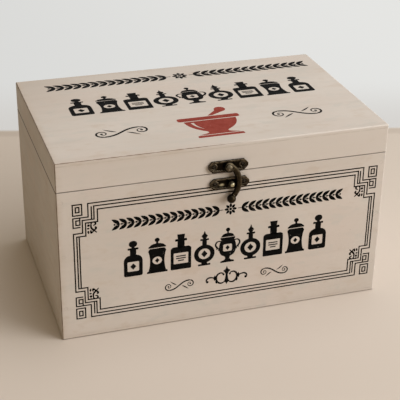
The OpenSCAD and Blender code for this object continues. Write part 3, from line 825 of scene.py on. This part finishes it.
def vessels(u0, v0, width, height):
    """Nine vessels, alike left and right of the middle one."""
    half = [(stoppered_bottle, 1.16), (waisted_jar, 1.12), (square_bottle, 1.16), (globe_bottle, 1.04)]
    order = half + [(handled_urn, 1.0)] + half[::-1]
    ku, kv = width / 178, height / 33
    pitch = 20.2
    shapes = []
    for i, (vessel, stout) in enumerate(order):
        shapes += placed(vessel(), u0 + (i - 4) * pitch * ku, v0, ku * stout, kv)
    return shapes


# Garland of paired leaves

LEAF_TURN = 36


def leaf_pair(k, side):
    """Two leaves from the middle of a stem, with a berry; they lean right for side 1 and left for -1."""
    blade = pointed(
        ((0, 0), (2.0, 2.6), (5.2, 2.4), (8.3, 0)),
        ((8.3, 0), (5.2, -1.7), (2.0, -1.5), (0, 0)),
    )
    shapes = placed([[blade]], 0, 0, 1, -1, LEAF_TURN) + placed([[blade]], 0, 0, 1, 1, LEAF_TURN)
    shapes.append(stroke([(-3.1, 0), (3.1, 0)], 0.55))
    shapes.append(disc(4.3, 0, 0.85, 12))
    return placed(shapes, 0, 0, k * side, k)


def rosette(petals, r, hole):
    """Round flower of pointed petals about a ring."""
    upper = ((hole, 0), (r * 0.45, r * 0.3), (r * 0.8, r * 0.26), (r, 0))
    petal = pointed(upper, [(u, -v) for u, v in reversed(upper)])
    shapes = []
    for i in range(petals):
        shapes += placed([[petal]], 0, 0, 1, 1, 360 * i / petals)
    return shapes + [disc(0, 0, hole * 0.8, 16)]


def flourish():
    """A pen flourish, 28 mm long: two spirals joined by a swelling wave, with a dot in each."""
    wave = curve((0, 0), (3.2, 2.6), (6.2, 4.2), (9.6, 3.6), 12)
    right = chain(wave, arc(9.4, 0.2, (3.4, 1.2), 88, -300, 34))
    line = [(-u, -v) for u, v in reversed(right)] + right[1:]
    shapes = [stroke(line, swelling(0.4, 1.25)), disc(9.7, 0.1, 0.75, 12), disc(-9.7, -0.1, 0.75, 12)]
    leaf = pointed(
        ((2.2, -0.6), (4.2, -2.6), (6.0, -3.4), (8.2, -5.0)),
        ((8.2, -5.0), (6.2, -2.2), (4.4, -1.0), (2.2, -0.6)),
    )
    shapes.append([leaf])
    shapes.append([[(-u, -v) for u, v in leaf]])
    return shapes


def mortar():
    """Mortar and pestle, 60 mm square, drawn about its middle."""
    wall = curve((22.6, 3.4), (22.0, -6), (17.6, -13), (9.6, -18.4))
    flare = curve((8.6, -21.6), (11.0, -23.4), (15.0, -24.0), (17.4, -25.2))
    bowl = both_halves(chain(wall, [(8.2, -20.2)], flare))
    glint = chain(
        curve((-17.4, 0.6), (-16.4, -6), (-13.6, -10.6), (-8.6, -14.2)),
        curve((-8.6, -14.2), (-12.4, -10.4), (-14.6, -5.6), (-14.8, 0.6)),
    )
    rim = block(-27, 4.6, 27, 11, 2.2, 2.2)
    foot = block(-19.6, -30, 19.6, -26.2, 0.6, 1.6)
    rod = chain([(-2.6, 0), (-3.1, 15)], arc(0, 19.6, 4.9, 215, -35, 26), [(3.1, 15), (2.6, 0)])
    # the pestle leans in the bowl and is cut off level, a little above the rim
    pestle = changed(placed([[rod]], 3.0, 7.6, 1, 1, -38), lambda u, v: (u, max(v, 12.2)))
    return [[bowl, glint[::-1]], [rim], [foot]] + pestle


# What is printed on the front

print_on("front_border", on_front, "box", border(), line_ink)
print_on("front_vessels", on_front, "box", vessels(1.4, 51.2, 178, 33), black_ink)
print_on("front_scrolls", on_front, "box", placed(fleuron(), 1.3, 30.5, 0.97, 1.0), black_ink)
print_on(
    "front_flourishes", on_front, "box",
    placed(flourish(), -40.2, 35.8, 0.98) + placed(flourish(), 44.2, 35.8, -0.98, 0.98), black_ink,
)

# What is printed on the lid

print_on("lid_vessels", on_lid, "lid", vessels(2.0, -1.7, 219.6, 37), black_ink)
print_on("lid_mortar", on_lid, "lid", placed(mortar(), 0.2, -42.8), red_ink)
print_on(
    "lid_flourishes", on_lid, "lid",
    placed(flourish(), -76, -44, 1.72) + placed(flourish(), 76.4, -44, -1.72, 1.72), black_ink,
)


def garland(name, at, body, u0, v0, half, k, pairs):
    """Leaves that grow from a rosette in the middle out to both ends."""
    gap = 7.4 * k
    step = (half - gap) / pairs
    for side, end in ((-1, "left"), (1, "right")):
        print_row(
            f"{name}_{end}", at, body, leaf_pair(k, side), pairs,
            (u0 + side * (gap + step * 0.35), v0), (side * step, 0), black_ink,
        )
    print_on(name + "_rosette", at, body, placed(rosette(8, 5.4, 1.5), u0, v0, k), black_ink)


garland("front_garland", on_front, "box", 3.1, 101.1, 96.9, 1.0, 15)
garland("lid_garland", on_lid, "lid", 5.5, 64.5, 119.5, 1.36, 14)


# Camera, set from the box's corners in the photograph, which is 400 pixels square

PHOTO_SIDE = 400
FOCAL_PX = 1105.9
AZIMUTH, ELEVATION, ROLL = math.radians(-18.13), math.radians(27.24), math.radians(0.93)
DISTANCE, SHIFT_RIGHT, SHIFT_UP = 1023.0, 5.5, 58.5

back = Vector((
    math.sin(AZIMUTH) * math.cos(ELEVATION), -math.cos(AZIMUTH) * math.cos(ELEVATION), math.sin(ELEVATION),
))
right = Vector((math.cos(AZIMUTH), math.sin(AZIMUTH), 0))
up = back.cross(right)
place = back * DISTANCE + right * SHIFT_RIGHT + up * SHIFT_UP
turned_right = right * math.cos(ROLL) + up * math.sin(ROLL)
turned_up = up * math.cos(ROLL) - right * math.sin(ROLL)
lens = bpy.data.cameras.new("camera")
lens.sensor_width = 36
lens.lens = FOCAL_PX / PHOTO_SIDE * lens.sensor_width
camera = bpy.data.objects.new("camera", lens)
bpy.context.scene.collection.objects.link(camera)
facing = Matrix((turned_right, turned_up, back)).transposed().to_4x4()
camera.matrix_world = Matrix.Translation(place * MM) @ facing
bpy.context.scene.camera = camera


# Pale floor, and a pale backdrop laid down flat behind the box so that it hides nothing from other sides

FLOOR_COLOUR = (0.630, 0.553, 0.480, 1)
BACKDROP_LEFT = (0.680, 0.680, 0.665, 1)
BACKDROP_RIGHT = (0.785, 0.785, 0.765, 1)
BACKDROP_FOOT_SHADE = (0.600, 0.570, 0.535, 1)
BACKDROP_TURN = math.radians(14.7)
BACKDROP_AT = 308.0


def pale_floor():
    finish, tree, shader = new_finish("stage_floor")
    point, x, y, z = object_point(tree)
    across = calc(tree, "MULTIPLY", x, math.sin(BACKDROP_TURN))
    behind = calc(tree, "ADD", across, calc(tree, "MULTIPLY", y, math.cos(BACKDROP_TURN)))
    backdrop = ramp(tree, behind, BACKDROP_AT - 3, BACKDROP_AT + 5)
    # the backdrop is painted lighter from left to right as painted light, and darker towards its foot as
    # painted shade
    colour = blend_colours(tree, ramp(tree, x, -350, 550), BACKDROP_LEFT, BACKDROP_RIGHT)
    foot = ramp(tree, behind, BACKDROP_AT, BACKDROP_AT + 170, 0.55, 0)
    colour = blend_colours(tree, foot, colour, BACKDROP_FOOT_SHADE)
    # a faint darker line on the floor just in front of the backdrop
    line = hairline(tree, behind, BACKDROP_AT - 8, 12)
    floor = blend_colours(tree, calc(tree, "MULTIPLY", line, 0.16), FLOOR_COLOUR, WORN_WOOD_AND_SHADE)
    plug(tree, shader.inputs["Base Color"], blend_colours(tree, backdrop, floor, colour))
    shader.inputs["Roughness"].default_value = 0.7
    shader.inputs["Specular IOR Level"].default_value = 0.2
    path = add_node(tree, "ShaderNodeLightPath")
    seen = calc(tree, "MAXIMUM", path.outputs["Is Camera Ray"], calc(
        tree, "MAXIMUM", path.outputs["Is Glossy Ray"], path.outputs["Is Transmission Ray"]))
    glow = add_node(tree, "ShaderNodeEmission", {"Color": colour, "Strength": 1.0})
    mixed = add_node(tree, "ShaderNodeMixShader", {"Fac": calc(tree, "MULTIPLY", backdrop, seen)})
    end = tree.nodes["Material Output"]
    tree.links.new(shader.outputs["BSDF"], mixed.inputs[1])
    tree.links.new(glow.outputs[0], mixed.inputs[2])
    tree.links.new(mixed.outputs[0], end.inputs["Surface"])
    points = [Vector((u, v, 0)) for u, v in arc(0, 0, 5000, 0, 350, 35)]
    made = plain_mesh("stage_floor", points, [list(range(len(points)))])
    made.data.materials.append(finish)


pale_floor()


# Soft studio light: a low broad lamp in front on the right, one above, a weak one behind, and a dim world

def lamp(name, turn, rise, far, size, power, colour):
    """A square lamp far metres from the box, turn degrees round it from +X and rise degrees up."""
    data = bpy.data.lights.new(name, "AREA")
    data.shape = "SQUARE"
    data.size = size
    data.energy = power
    data.color = colour
    made = bpy.data.objects.new(name, data)
    bpy.context.scene.collection.objects.link(made)
    turn, rise = math.radians(turn), math.radians(rise)
    out = Vector((math.cos(turn) * math.cos(rise), math.sin(turn) * math.cos(rise), math.sin(rise)))
    made.location = out * far + Vector((0, 0, 0.08))
    made.rotation_euler = out.to_track_quat("Z", "Y").to_euler()
    made.visible_camera = False


lamp("window_lamp", -38, 20, 2.7, 1.65, 54, (0.98, 0.985, 1.0))
lamp("top_lamp", -30, 72, 2.0, 1.8, 27, (0.92, 0.94, 1.0))
lamp("back_lamp", 50, 45, 1.3, 1.0, 1.4, (0.85, 0.95, 1.0))

world = bpy.data.worlds.new("studio")
bpy.context.scene.world = world
world.use_nodes = True
sky = world.node_tree
soft = sky.nodes["Background"]
soft.inputs["Color"].default_value = (1.0, 0.75, 0.37, 1)
soft.inputs["Strength"].default_value = 0.235
pale = add_node(sky, "ShaderNodeBackground", {"Color": BACKDROP_RIGHT, "Strength": 1.0})
sight = add_node(sky, "ShaderNodeLightPath")
seen = calc(sky, "MAXIMUM", sight.outputs["Is Camera Ray"], calc(
    sky, "MAXIMUM", sight.outputs["Is Glossy Ray"], sight.outputs["Is Transmission Ray"]))
shown = add_node(sky, "ShaderNodeMixShader", {"Fac": seen})
sky.links.new(soft.outputs[0], shown.inputs[1])
sky.links.new(pale.outputs[0], shown.inputs[2])
sky.links.new(shown.outputs[0], sky.nodes["World Output"].inputs["Surface"])

bpy.context.scene.view_settings.view_transform = "Standard"
